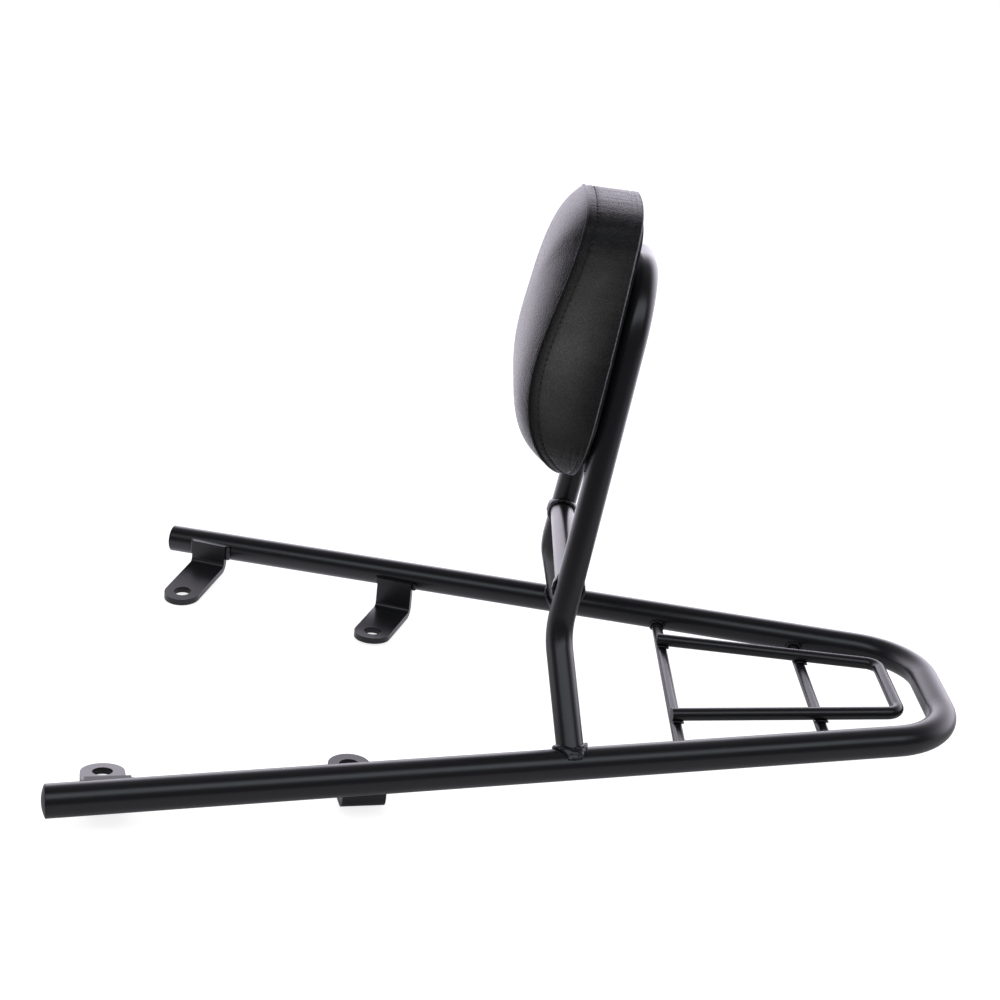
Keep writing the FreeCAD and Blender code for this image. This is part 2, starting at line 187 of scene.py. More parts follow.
@dataclass(frozen=True)
class GrainedVinyl:
    """Black PVC leathercloth with an embossed hide grain, stretched over foam.

    The patch of painted light, a lighter colour painted on the middle of the side band that stands in for
    light falling there, fades in and out over ranges in metres: the ranges ending in _from and _to are
    heights on the rack, those ending in _behind and _before are distances behind the seam. Dust takes
    gloss away, so gloss is low.
    """

    colour: str = "#0f0f0f"
    crease_colour: str = "#060606"
    crease_shade: float = 0.30
    # Painted light: a lighter colour, painted on the middle of the side band, that stands in for light
    # falling there.
    painted_light_colour: str = "#5f5d5a"
    painted_light_from: tuple[float, float] = (0.20, 0.32)
    painted_light_to: tuple[float, float] = (0.350, 0.384)
    painted_light_behind: tuple[float, float] = (0.0, 0.012)
    painted_light_before: tuple[float, float] = (0.016, 0.050)
    roughness: float = 0.37
    roughness_spread: float = 0.08
    gloss: float = 0.28
    grain_mm: float = 1.9
    grain_depth_mm: float = 0.20
    grain_wander: float = 0.8
    groove_share: float = 0.26
    pore_mm: float = 1.1
    pore_share: float = 0.6
    crease_mm: tuple[float, float] = (3.2, 18.0)
    crease_depth_mm: float = 0.45
    cloud_mm: float = 48.0
    cloud_slack: tuple[float, float] = (0.36, 0.62)

    def material(self) -> bpy.types.Material:
        """Dull black pebbles between darker creases, with painted light on the middle of the band; the
        grain is drawn coarse enough to show.
        """
        made, tree = new_material("pvc_leathercloth_grained_black")
        coordinates = add_node(tree, "ShaderNodeTexCoord")
        place = coordinates.outputs["Object"]
        pores = add_node(tree, "ShaderNodeTexNoise", {"Scale": per_metre(self.pore_mm), "Detail": 3.0},
                         {"Vector": place})
        wander = add_node(tree, "ShaderNodeTexNoise", {"Scale": per_metre(self.grain_mm), "Detail": 2.0},
                          {"Vector": place})
        bent = add_node(tree, "ShaderNodeVectorMath",
                        {"operation": "MULTIPLY_ADD", 1: (self.grain_wander * self.grain_mm * MM,) * 3},
                        {0: wander.outputs["Color"], 2: place})
        cells = add_node(tree, "ShaderNodeTexVoronoi",
                         {"feature": "DISTANCE_TO_EDGE", "Scale": per_metre(self.grain_mm)},
                         {"Vector": bent.outputs["Vector"]})
        pebble = add_node(tree, "ShaderNodeMapRange",
                          {"From Max": self.groove_share, "interpolation_type": "SMOOTHSTEP"},
                          {"Value": cells.outputs["Distance"]})
        grain = add_node(tree, "ShaderNodeMath", {"operation": "MULTIPLY_ADD", 1: self.pore_share},
                         {0: pores.outputs["Fac"], 2: pebble.outputs["Result"]})
        across, along = self.crease_mm
        stretched = add_node(tree, "ShaderNodeMapping",
                             {"Scale": (per_metre(across), per_metre(along), 1.0)},
                             {"Vector": coordinates.outputs["UV"]})
        creases = add_node(tree, "ShaderNodeTexNoise",
                           {"Scale": 1.0, "Detail": 3.0, "Roughness": 0.6, "Distortion": 0.8},
                           {"Vector": stretched.outputs["Vector"]})
        cloud = add_node(tree, "ShaderNodeTexNoise", {"Scale": per_metre(self.cloud_mm), "Detail": 2.0},
                         {"Vector": place})
        taut, loose = self.cloud_slack
        slack = add_node(tree, "ShaderNodeMapRange", {"From Min": taut, "From Max": loose},
                         {"Value": cloud.outputs["Fac"]})
        folds = add_node(tree, "ShaderNodeMath", {"operation": "MULTIPLY"},
                         {0: creases.outputs["Fac"], 1: slack.outputs["Result"]})
        creased = add_node(tree, "ShaderNodeBump",
                           {"Strength": 1.0, "Distance": self.crease_depth_mm * MM},
                           {"Height": folds.outputs[0]})
        grained = add_node(tree, "ShaderNodeBump", {"Strength": 1.0, "Distance": self.grain_depth_mm * MM},
                           {"Height": grain.outputs[0], "Normal": creased.outputs["Normal"]})
        # Painted light: this mask lifts the middle of the band to the lighter painted colour.
        painted_light = self.painted_light_mask(tree, coordinates, cloud.outputs["Fac"])
        top = add_node(tree, "ShaderNodeValToRGB", links={"Fac": painted_light})
        top.color_ramp.elements[0].color = linear(self.colour)
        top.color_ramp.elements[1].color = linear(self.painted_light_colour)
        depth = add_node(tree, "ShaderNodeMapRange", {"To Min": self.crease_shade, "To Max": 0.0},
                         {"Value": pebble.outputs["Result"]})
        tone = add_node(tree, "ShaderNodeMixRGB", {"Color2": linear(self.crease_colour)},
                        {"Fac": depth.outputs["Result"], "Color1": top.outputs["Color"]})
        sheen = add_node(tree, "ShaderNodeMapRange",
                         {"To Min": self.roughness - self.roughness_spread,
                          "To Max": self.roughness + self.roughness_spread},
                         {"Value": pores.outputs["Fac"]})
        shader = add_node(tree, "ShaderNodeBsdfPrincipled", {"IOR": 1.5, "Specular IOR Level": self.gloss},
                          {"Base Color": tone.outputs["Color"], "Roughness": sheen.outputs["Result"],
                           "Normal": grained.outputs["Normal"]})
        add_node(tree, "ShaderNodeOutputMaterial", links={"Surface": shader.outputs["BSDF"]})
        return made

    def painted_light_mask(self, tree: bpy.types.NodeTree, coordinates: bpy.types.Node,
             cloud: bpy.types.NodeSocket) -> bpy.types.NodeSocket:
        """Mask of the painted light on the middle of the side band: a lighter patch that stands in for
        light falling there.

        Args:
            tree: Node tree of the material.
            coordinates: Its Texture Coordinate node.
            cloud: Soft noise that breaks up the mask.

        Returns:
            The socket with the mask, from 0 to 1.
        """
        place = add_node(tree, "ShaderNodeSeparateXYZ", links={0: coordinates.outputs["Object"]})
        sewn = add_node(tree, "ShaderNodeSeparateXYZ", links={0: coordinates.outputs["UV"]})
        height, behind = place.outputs["Z"], sewn.outputs["Y"]
        mask = cloud
        for value, start, end in ((height, *self.painted_light_from), (height, *reversed(self.painted_light_to)),
                                  (behind, *self.painted_light_behind), (behind, *reversed(self.painted_light_before))):
            edge = add_node(tree, "ShaderNodeMapRange",
                            {"From Min": start, "From Max": end, "interpolation_type": "SMOOTHSTEP"},
                            {"Value": value})
            mask = add_node(tree, "ShaderNodeMath", {"operation": "MULTIPLY"},
                            {0: mask, 1: edge.outputs["Result"]}).outputs[0]
        return mask


@dataclass(frozen=True)
class SewingThread:
    """Bonded nylon thread, waxed and dyed black."""

    colour: str = "#0b0b0b"
    roughness: float = 0.6
    twist_mm: float = 0.5
    twist_depth_mm: float = 0.1

    def material(self) -> bpy.types.Material:
        """Deep black strands with a fine twist."""
        made, tree = new_material("bonded_nylon_thread_black")
        place = add_node(tree, "ShaderNodeTexCoord").outputs["Object"]
        twist = add_node(tree, "ShaderNodeTexNoise", {"Scale": per_metre(self.twist_mm), "Detail": 1.0},
                         {"Vector": place})
        bump = add_node(tree, "ShaderNodeBump", {"Strength": 0.6, "Distance": self.twist_depth_mm * MM},
                        {"Height": twist.outputs["Fac"]})
        shader = add_node(tree, "ShaderNodeBsdfPrincipled",
                          {"Base Color": linear(self.colour), "Roughness": self.roughness, "IOR": 1.5},
                          {"Normal": bump.outputs["Normal"]})
        add_node(tree, "ShaderNodeOutputMaterial", links={"Surface": shader.outputs["BSDF"]})
        return made


@dataclass(frozen=True)
class PaintedRimHighlight:
    """Pale grey painted highlight for the roll along the band's rear edge, where the rounded edge catches
    light.
    """

    colour: str = "#77757c"
    shade: str = "#121214"
    roughness: float = 0.6
    loop_mm: float = 2.0

    def material(self) -> bpy.types.Material:
        """Pale grey painted highlight broken up by small dark loops."""
        made, tree = new_material("painted_rim_highlight_grey")
        place = add_node(tree, "ShaderNodeTexCoord").outputs["Object"]
        loops = add_node(tree, "ShaderNodeTexNoise", {"Scale": per_metre(self.loop_mm), "Detail": 2.0},
                         {"Vector": place})
        tone = add_node(tree, "ShaderNodeValToRGB", links={"Fac": loops.outputs["Fac"]})
        tone.color_ramp.elements[0].color = linear(self.shade)
        tone.color_ramp.elements[1].color = linear(self.colour)
        shader = add_node(tree, "ShaderNodeBsdfPrincipled", {"Roughness": self.roughness, "IOR": 1.5},
                          {"Base Color": tone.outputs["Color"]})
        add_node(tree, "ShaderNodeOutputMaterial", links={"Surface": shader.outputs["BSDF"]})
        return made


@dataclass(frozen=True)
class MouldedPlastic:
    """Black plastic, moulded with a lightly sparked texture."""

    name: str
    colour: str
    roughness: float
    roughness_spread: float = 0.06
    spark_mm: float = 0.9
    spark_depth_mm: float = 0.02
    flow_mm: float = 30.0

    def material(self) -> bpy.types.Material:
        """Even black with a fine matt texture and faint flow clouds."""
        made, tree = new_material(self.name)
        place = add_node(tree, "ShaderNodeTexCoord").outputs["Object"]
        spark = add_node(tree, "ShaderNodeTexNoise", {"Scale": per_metre(self.spark_mm), "Detail": 3.0},
                         {"Vector": place})
        flow = add_node(tree, "ShaderNodeTexNoise", {"Scale": per_metre(self.flow_mm), "Detail": 2.0},
                        {"Vector": place})
        sheen = add_node(tree, "ShaderNodeMapRange",
                         {"To Min": self.roughness - self.roughness_spread,
                          "To Max": self.roughness + self.roughness_spread},
                         {"Value": flow.outputs["Fac"]})
        bump = add_node(tree, "ShaderNodeBump", {"Strength": 1.0, "Distance": self.spark_depth_mm * MM},
                        {"Height": spark.outputs["Fac"]})
        shader = add_node(tree, "ShaderNodeBsdfPrincipled",
                          {"Base Color": linear(self.colour), "IOR": 1.49},
                          {"Roughness": sheen.outputs["Result"], "Normal": bump.outputs["Normal"]})
        add_node(tree, "ShaderNodeOutputMaterial", links={"Surface": shader.outputs["BSDF"]})
        return made


@dataclass(frozen=True)
class ZincPlate:
    """Bright zinc electroplate on steel fasteners."""

    colour: str = "#b9bcc0"
    stain: str = "#9a9c96"
    stain_mm: float = 6.0
    roughness: tuple[float, float] = (0.28, 0.46)

    def material(self) -> bpy.types.Material:
        """Pale grey metal with cloudy stains and an uneven sheen."""
        made, tree = new_material("zinc_plate_bright")
        place = add_node(tree, "ShaderNodeTexCoord").outputs["Object"]
        cloud = add_node(tree, "ShaderNodeTexNoise", {"Scale": per_metre(self.stain_mm), "Detail": 4.0},
                         {"Vector": place})
        tone = add_node(tree, "ShaderNodeValToRGB", links={"Fac": cloud.outputs["Fac"]})
        tone.color_ramp.elements[0].color = linear(self.stain)
        tone.color_ramp.elements[1].color = linear(self.colour)
        bright, dull = self.roughness
        sheen = add_node(tree, "ShaderNodeMapRange", {"To Min": bright, "To Max": dull},
                         {"Value": cloud.outputs["Fac"]})
        shader = add_node(tree, "ShaderNodeBsdfPrincipled", {"Metallic": 1.0},
                          {"Base Color": tone.outputs["Color"], "Roughness": sheen.outputs["Result"]})
        add_node(tree, "ShaderNodeOutputMaterial", links={"Surface": shader.outputs["BSDF"]})
        return made


@dataclass(frozen=True)
class Plywood:
    """Birch plywood, sanded and left bare."""

    light: str = "#cdb189"
    dark: str = "#a98a60"
    roughness: float = 0.62
    grain_mm: float = 2.5
    grain_stretch: float = 0.08

    def material(self) -> bpy.types.Material:
        """Pale wood with long fine grain across the board."""
        made, tree = new_material("birch_plywood_sanded")
        place = add_node(tree, "ShaderNodeTexCoord").outputs["Object"]
        run = add_node(tree, "ShaderNodeMapping", {"Scale": (1.0, self.grain_stretch, 1.0)},
                       {"Vector": place})
        grain = add_node(tree, "ShaderNodeTexNoise", {"Scale": per_metre(self.grain_mm), "Detail": 4.0},
                         {"Vector": run.outputs["Vector"]})
        tone = add_node(tree, "ShaderNodeValToRGB", links={"Fac": grain.outputs["Fac"]})
        tone.color_ramp.elements[0].color = linear(self.dark)
        tone.color_ramp.elements[1].color = linear(self.light)
        shader = add_node(tree, "ShaderNodeBsdfPrincipled", {"Roughness": self.roughness, "IOR": 1.5},
                          {"Base Color": tone.outputs["Color"]})
        add_node(tree, "ShaderNodeOutputMaterial", links={"Surface": shader.outputs["BSDF"]})
        return made


@dataclass(frozen=True)
class HoopPlane:
    """Leaning plane of the backrest hoop; the pad is drawn in it, in millimetres."""

    origin: tuple[float, float, float] = (0.30037, 0.0, 0.10818)
    lean_degrees: float = 7.5

    def lean(self) -> Matrix:
        """Turn from upright to the leaning plane."""
        return Matrix.Rotation(math.radians(self.lean_degrees), 4, "Y")

    def matrix(self) -> Matrix:
        """Transform from millimetres back, across and up the plane to metres on the rack."""
        return Matrix.Translation(self.origin) @ self.lean() @ Matrix.Scale(MM, 4)


@dataclass(frozen=True)
class Groove:
    """Section of a soft line pressed into the cover, in millimetres."""

    depth: float
    width: float

    def at(self, offset: float) -> float:
        """Depth at this distance from the middle of the line."""
        return self.depth * math.exp(-(offset / self.width) ** 2)


@dataclass(frozen=True)
class Fold:
    """Line pressed into the band, from one place to another.

    A place is degrees round the pad from its lowest point, and millimetres in front of the hoop plane.
    """

    start: tuple[float, float]
    end: tuple[float, float]
    groove: Groove = Groove(0.45, 0.6)

    def pressed(self, angle: float, depth: float, radius: float) -> float:
        """How far the cover is pressed in here, in millimetres.

        Args:
            angle: Angle round the pad, in radians.
            depth: Depth in front of the hoop plane.
            radius: Length of the band for one radian.

        Returns:
            The depth of the fold at this place.
        """
        first, last = (Vector((math.radians(a) * radius, d)) for a, d in (self.start, self.end))
        here = Vector((angle * radius, depth))
        closest, share = geometry.intersect_point_line(here, first, last)
        closest = first if share < 0.0 else last if share > 1.0 else closest
        return self.groove.at((here - closest.to_2d()).length)


def rolled_cord(name: str, points: Sequence[Vector], radius: float, finish: bpy.types.Material) -> None:
    """Lay a closed round roll of cover material along points.

    Args:
        name: Name of the piece.
        points: Points on the rack, in metres.
        radius: Radius of the roll, in millimetres.
        finish: Its material.
    """
    data = bpy.data.curves.new(name + "_path", "CURVE")
    data.dimensions = "3D"
    data.bevel_depth = radius * MM
    data.bevel_resolution = 2
    spline = data.splines.new("POLY")
    spline.points.add(len(points) - 1)
    spline.use_cyclic_u = True
    for point, place in zip(spline.points, points):
        point.co = (*place, 1.0)
    path = bpy.data.objects.new(name + "_path", data)
    mesh = bpy.data.meshes.new_from_object(path)
    bpy.data.objects.remove(path)
    shape = bmesh.new()
    shape.from_mesh(mesh)
    bpy.data.meshes.remove(mesh)
    bmesh.ops.recalc_face_normals(shape, faces=shape.faces)
    new_piece(name, shape, finish)


@dataclass
class BackrestPad:
    """Foam pad in a sewn cover: crowned front panel, boxed band, seam lip and top stitching.

    Sizes are millimetres, measured up the hoop plane, across it and forward of it.
    """

    plane: HoopPlane
    vinyl: bpy.types.Material
    thread: bpy.types.Material
    rim_highlight: bpy.types.Material
    plastic: bpy.types.Material
    flank: float = 85.5
    flank_round: float = 0.001616
    waist_height: float = 200.0
    top: float = 293.3
    brow_rise: float = 24.0
    brow_power: float = 2.5
    bottom: float = 91.7
    chin_rise: float = 56.7
    chin_power: float = 1.8
    middle: float = 192.0
    crown: float = 73.2
    crown_power: int = 8
    rear: float = 11.8
    lean_from: float = 150.0
    lean_span: float = 140.0
    lean_fall: float = 1.97
    lean_middle: float = 35.0
    lean_depth: float = 20.0
    seam_depths: tuple[float, float, float, float] = (60.74, -11.66, -21.58, 24.52)
    seam_unit: float = 100.0
    columns: int = 34
    rows: int = 44
    band_steps: tuple[float, ...] = (1.8, 3.8, 5.8, 7.6, 10.0, 14.5)
    band_rings: int = 8
    near_share: float = 0.6
    panel_mark: float = -20.0
    map_radius: float = 95.0
    rim_round: float = 2.0
    rim_turns: tuple[float, ...] = (0.35, 0.7, 1.0)
    rim_tuck: float = 8.0
    stitch_back: float = 6.8
    stitch_pitch: float = 4.3
    stitch_share: float = 0.40
    stitch_height: float = 0.34
    stitch_width: float = 0.42
    stitch_lift: float = 0.1
    lip_back: float = 0.2
    lip_radius: float = 0.8
    hem_radius: float = 0.5
    hem_width: float = 3.6
    hem_lift: float = 0.5
    plate_gap: float = 9.0
    stitch_groove: Groove = Groove(0.5, 0.9)
    seam_groove: Groove = Groove(0.45, 0.9)
    seam_groove_back: float = 1.6
    hem_groove: Groove = Groove(0.4, 0.6)
    pucker: Groove = Groove(0.14, 3.0)
    slack_depths: tuple[float, float] = (0.15, 0.60)
    slack_size: float = 42.0
    slack_slice: float = 3.0
    crease_size: tuple[float, float] = (4.4, 26.0)
    seam_calm: Groove = Groove(1.0, 2.0)
    fold_angles: tuple[float, float] = (-70.0, -25.0)
    folds: tuple[Fold, ...] = (Fold((-53.0, 22.2), (-34.0, 17.2)), Fold((-53.0, 22.0), (-54.5, 12.0)),
                               Fold((-55.0, 27.8), (-42.0, 26.2), Groove(0.2, 1.1)),
                               Fold((-52.0, 16.6), (-42.0, 14.6), Groove(0.2, 1.0)))
    pressure: float = 3.0
    swell_limit: float = 3.0
    frames: int = 20
    held_reach: float = 0.2

    def build(self) -> None:
        """Make the cover, its seam lip, rear hem and stitches, and the plate behind it."""
        cover = self.sew_cover()
        self.inflate(cover)
        self.finish_cover(cover)
        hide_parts("pad_cushion")
        skin = BVHTree.FromPolygons([v.co for v in cover.data.vertices],
                                    [p.vertices for p in cover.data.polygons])
        lip = [place for place, _ in self.ring(skin, self.lip_back)]
        rolled_cord("pad_seam_lip", lip, self.lip_radius, self.vinyl)
        # The rear hem roll takes the pale grey painted highlight, which stands in for light caught along
        # the rear edge.
        hem = [place for place, _ in self.ring(skin)]
        rolled_cord("pad_rear_hem", hem, self.hem_radius, self.rim_highlight)
        self.lay_stitches(skin)
        self.fit_plate()

    def half_width(self, height: float) -> float:
        """Half of the pad's width at a height of the hoop plane."""
        low = self.bottom + self.chin_rise
        high = self.top - self.brow_rise
        straight = self.flank - self.flank_round * (min(max(height, low), high) - low) ** 2
        if low <= height <= high:
            return straight
        share, power = (((low - height) / self.chin_rise, self.chin_power) if height < low
                        else ((height - high) / self.brow_rise, self.brow_power))
        return straight * max(0.0, 1.0 - share ** power) ** (1.0 / power)

    def reach(self, angle: float) -> float:
        """Distance from the pad's middle to its outline in one direction."""
        low, high = 0.0, self.top
        for _ in range(HALVINGS):
            trial = (low + high) / 2
            height = self.middle + trial * math.sin(angle)
            inside = self.bottom < height < self.top
            if inside and abs(trial * math.cos(angle)) < self.half_width(height):
                low = trial
            else:
                high = trial
        return low

    def seam_depth(self, height: float) -> float:
        """Depth of the seam in front of the hoop plane at a height."""
        u = (height - self.waist_height) / self.seam_unit
        return sum(value * u ** i for i, value in enumerate(self.seam_depths))

    def lean(self, height: float, depth: float) -> float:
        """How much the top of the band falls towards the front."""
        share = min(max((height - self.lean_from) / self.lean_span, 0.0), 1.0)
        return -self.lean_fall * share * (depth - self.lean_middle) / self.lean_depth

    def front_point(self, u: float, v: float) -> tuple[Vector, float]:
        """Point of the front panel for a place on its square grid.

        Args:
            u: Place across the grid, from -1 to 1.
            v: Place up the grid, from -1 to 1.

        Returns:
            The point back, across and up the hoop plane, and the depth of the seam beside it.
        """
        a = u * math.sqrt(1.0 - v * v / 2.0)
        b = v * math.sqrt(1.0 - u * u / 2.0)
        share = math.hypot(a, b)
        angle = math.atan2(b, a)
        reach = self.reach(angle)
        across = share * reach * math.cos(angle)
        height = self.middle + share * reach * math.sin(angle)
        seam = self.seam_depth(self.middle + reach * math.sin(angle))
        fall = (share ** 2 + share ** self.crown_power) / 2
        depth = self.crown - (self.crown - seam) * fall
        return Vector((-depth, across, height + self.lean(height, depth))), seam

    def sew_cover(self) -> bpy.types.Object:
        """Draw the front panel on a grid, then draw its edge back into the band and the rear rim."""
        shape = bmesh.new()
        bmesh.ops.create_grid(shape, x_segments=self.columns, y_segments=self.rows, size=1.0)
        behind = shape.verts.layers.float.new("behind_seam")
        depth_at = shape.verts.layers.float.new("seam_depth")
        for vert in shape.verts:
            vert.co, vert[depth_at] = self.front_point(vert.co.x, vert.co.y)
            vert[behind] = self.panel_mark
        rim = [e for e in shape.edges if e.is_boundary]
        for vert in {v for e in rim for v in e.verts}:
            vert[behind] = 0.0
        for step in range(1, len(self.band_steps) + self.band_rings + 1):
            rim = self.draw_back(shape, rim, step, behind, depth_at)
        for before, share in zip((0.0, *self.rim_turns), self.rim_turns):
            drawn = self.rim_round * (math.cos(before * math.pi / 2) - math.cos(share * math.pi / 2))
            rim = self.turn_rim(shape, rim, share, drawn)
        rim = self.turn_rim(shape, rim, 1.0, self.rim_tuck)
        bmesh.ops.holes_fill(shape, edges=rim, sides=0)
        bmesh.ops.recalc_face_normals(shape, faces=shape.faces)
        self.write_cover_map(shape, behind)
        bmesh.ops.transform(shape, matrix=self.plane.matrix(), verts=shape.verts)
        return new_piece("pad_cover", shape, self.vinyl)

    def draw_back(self, shape: bmesh.types.BMesh, rim: list[bmesh.types.BMEdge], step: int,
                  behind: bmesh.types.BMLayerItem,
                  depth_at: bmesh.types.BMLayerItem) -> list[bmesh.types.BMEdge]:
        """Draw the open edge one ring further back along the band.

        Args:
            shape: Cover so far.
            rim: Its open edges.
            step: Number of the ring, from one.
            behind: Layer with the distance behind the seam.
            depth_at: Layer with the depth of the seam.

        Returns:
            The new open edges.
        """
        made = bmesh.ops.extrude_edge_only(shape, edges=rim)["geom"]
        near = len(self.band_steps)
        for vert in (g for g in made if isinstance(g, bmesh.types.BMVert)):
            room = vert[depth_at] - self.rear - self.rim_round
            last = min(self.band_steps[-1], self.near_share * room)
            if step <= near:
                back = self.band_steps[step - 1] * last / self.band_steps[-1]
            else:
                back = last + (room - last) * (step - near) / self.band_rings
            depth = vert[depth_at] - back
            height = vert.co.z - self.lean(vert.co.z, -vert.co.x)
            vert.co.x = -depth
            vert.co.z = height + self.lean(height, depth)
            vert[behind] = back
        return [e for e in made if isinstance(e, bmesh.types.BMEdge) and e.is_boundary]

    def turn_rim(self, shape: bmesh.types.BMesh, rim: list[bmesh.types.BMEdge], share: float,
                 drawn: float) -> list[bmesh.types.BMEdge]:
        """Fold the open edge round the rear corner of the band.

        Args:
            shape: Cover so far.
            rim: Its open edges.
            share: Share of the quarter turn that the new ring stands at.
            drawn: Distance that it is drawn in towards the pad's middle.

        Returns:
            The new open edges.
        """
        made = bmesh.ops.extrude_edge_only(shape, edges=rim)["geom"]
        back = self.rear + self.rim_round * (1.0 - math.sin(share * math.pi / 2))
        centre = Vector((0.0, 0.0, self.middle))
        for vert in (g for g in made if isinstance(g, bmesh.types.BMVert)):
            away = Vector((0.0, vert.co.y, vert.co.z)) - centre
            vert.co -= away.normalized() * drawn
            vert.co.x = -back
        return [e for e in made if isinstance(e, bmesh.types.BMEdge) and e.is_boundary]

    def write_cover_map(self, shape: bmesh.types.BMesh, behind: bmesh.types.BMLayerItem) -> None:
        """Give the cover a map in metres: round the pad, and back from the seam."""
        layer = shape.loops.layers.uv.new("cover")
        for face in shape.faces:
            angles = [math.atan2(v.co.y, self.middle - v.co.z) for v in face.verts]
            wraps = max(angles) - min(angles) > math.pi
            for loop, angle in zip(face.loops, angles):
                round_pad = angle + (2 * math.pi if wraps and angle < 0 else 0.0)
                loop[layer].uv = (round_pad * self.map_radius * MM, loop.vert[behind] * MM)

    def inflate(self, cover: bpy.types.Object) -> None:
        """Swell the panels between their sewn edges with a cloth simulation, and cap the movement."""
        mesh = cover.data
        rest = [v.co.copy() for v in mesh.vertices]
        behind = mesh.attributes["behind_seam"].data
        held = cover.vertex_groups.new(name="sewn")
        tight = [i for i, b in enumerate(behind) if b.value == 0.0]
        seat = self.plane.matrix() @ Vector((-self.rear - self.rim_round, 0.0, self.middle))
        back = self.plane.lean() @ Vector((1.0, 0.0, 0.0))
        least = -self.held_reach * MM
        tight += [i for i, v in enumerate(mesh.vertices) if (v.co - seat).dot(back) > least]
        held.add(tight, 1.0, "REPLACE")
        cloth = cover.modifiers.new("swell", "CLOTH")
        cloth.settings.quality = 6
        cloth.settings.mass = 0.2
        cloth.settings.tension_stiffness = 25.0
        cloth.settings.compression_stiffness = 25.0
        cloth.settings.shear_stiffness = 10.0
        cloth.settings.bending_stiffness = 1.5
        cloth.settings.use_pressure = True
        cloth.settings.uniform_pressure_force = self.pressure
        cloth.settings.effector_weights.gravity = 0.0
        cloth.settings.vertex_group_mass = held.name
        cloth.point_cache.frame_start = 1
        cloth.point_cache.frame_end = self.frames
        scene = bpy.context.scene
        for step in range(1, self.frames + 1):
            scene.frame_set(step)
        swollen = cover.evaluated_get(bpy.context.evaluated_depsgraph_get())
        moved = [v.co.copy() for v in swollen.to_mesh().vertices]
        swollen.to_mesh_clear()
        cover.modifiers.remove(cloth)
        cover.vertex_groups.clear()
        scene.frame_set(1)
        limit = self.swell_limit * MM
        furthest = 0.0
        for vert, start, end in zip(mesh.vertices, rest, moved):
            step_out = end - start
            furthest = max(furthest, step_out.length)
            if step_out.length > limit:
                step_out *= limit / step_out.length
            vert.co = start + step_out
        log.info("pad swells by up to %.1f mm, capped at %.1f mm", furthest / MM, self.swell_limit)

    def finish_cover(self, cover: bpy.types.Object) -> None:
        """Subdivide the cover, then press in its stitch line, creases, hem and folds."""
        finer = cover.modifiers.new("finer", "SUBSURF")
        finer.levels = finer.render_levels = 2
        depsgraph = bpy.context.evaluated_depsgraph_get()
        fine = bpy.data.meshes.new_from_object(cover.evaluated_get(depsgraph))
        cover.modifiers.remove(finer)
        coarse, cover.data = cover.data, fine
        fine.name = coarse.name + "_fine"
        bpy.data.meshes.remove(coarse)
        to_plane = self.plane.matrix().inverted()
        normals = [v.normal.copy() for v in fine.vertices]
        behind = fine.attributes["behind_seam"].data
        seam = fine.attributes["seam_depth"].data
        for vert, normal, back, front in zip(fine.vertices, normals, behind, seam):
            if back.value > 0.0:
                place = to_plane @ vert.co
                angle = math.atan2(place.y, self.middle - place.z)
                vert.co -= normal * self.pressed(angle, back.value, front.value) * MM
        fine.shade_smooth()
        log.info("%s: %d faces when finished", cover.name, len(fine.polygons))

    def pressed(self, angle: float, behind: float, seam: float) -> float:
        """How far the band is pressed in, in millimetres.

        Args:
            angle: Angle round the pad from its lowest point, in radians.
            behind: Distance behind the seam.
            seam: Depth of the seam in front of the hoop plane.

        Returns:
            The depth of the stitch line, puckers, creases, hem and folds together.
        """
        arc = angle * self.map_radius
        from_stitch = behind - self.stitch_back
        to_rear = seam - behind - self.rear - self.rim_round
        puckers = self.pucker.at(from_stitch) * math.sin(2 * math.pi * arc / self.stitch_pitch)
        cloud = noise.noise(Vector((arc / self.slack_size, behind / self.slack_size, self.slack_slice)))
        slack = self.slack_depths[0] + self.slack_depths[1] * max(0.0, cloud)
        across, along = self.crease_size
        creases = slack * noise.noise(Vector((arc / across, behind / along, 0.0)))
        folds = 0.0
        if self.fold_angles[0] < math.degrees(angle) < self.fold_angles[1]:
            folds = sum(f.pressed(angle, seam - behind, self.map_radius) for f in self.folds)
        return (self.stitch_groove.at(from_stitch) + self.seam_groove.at(behind - self.seam_groove_back)
                + puckers + creases * (1.0 - self.seam_calm.at(behind))
                + self.hem_groove.at(to_rear - self.hem_width) + folds)

    def ring(self, skin: BVHTree, behind: float | None = None) -> list[tuple[Vector, Vector]]:
        """Places round the finished band, and the directions that it faces there.

        Args:
            skin: Finished cover.
            behind: Distance behind the seam; the rear edge where none is given.

        Returns:
            Points on the rack in metres, from the pad's lowest point round, with their normals.
        """
        to_rack = self.plane.matrix()
        found = []
        count = 4 * (self.columns + self.rows)
        for step in range(count):
            angle = 2 * math.pi * step / count - math.pi / 2
            reach = self.reach(angle)
            height = self.middle + reach * math.sin(angle)
            depth = self.rear + self.hem_lift
            if behind is not None:
                depth = max(depth, self.seam_depth(height) - behind)
            place = Vector((-depth, reach * math.cos(angle), height + self.lean(height, depth)))
            point, normal, _, _ = skin.find_nearest(to_rack @ place)
            found.append((point, normal))
        return found

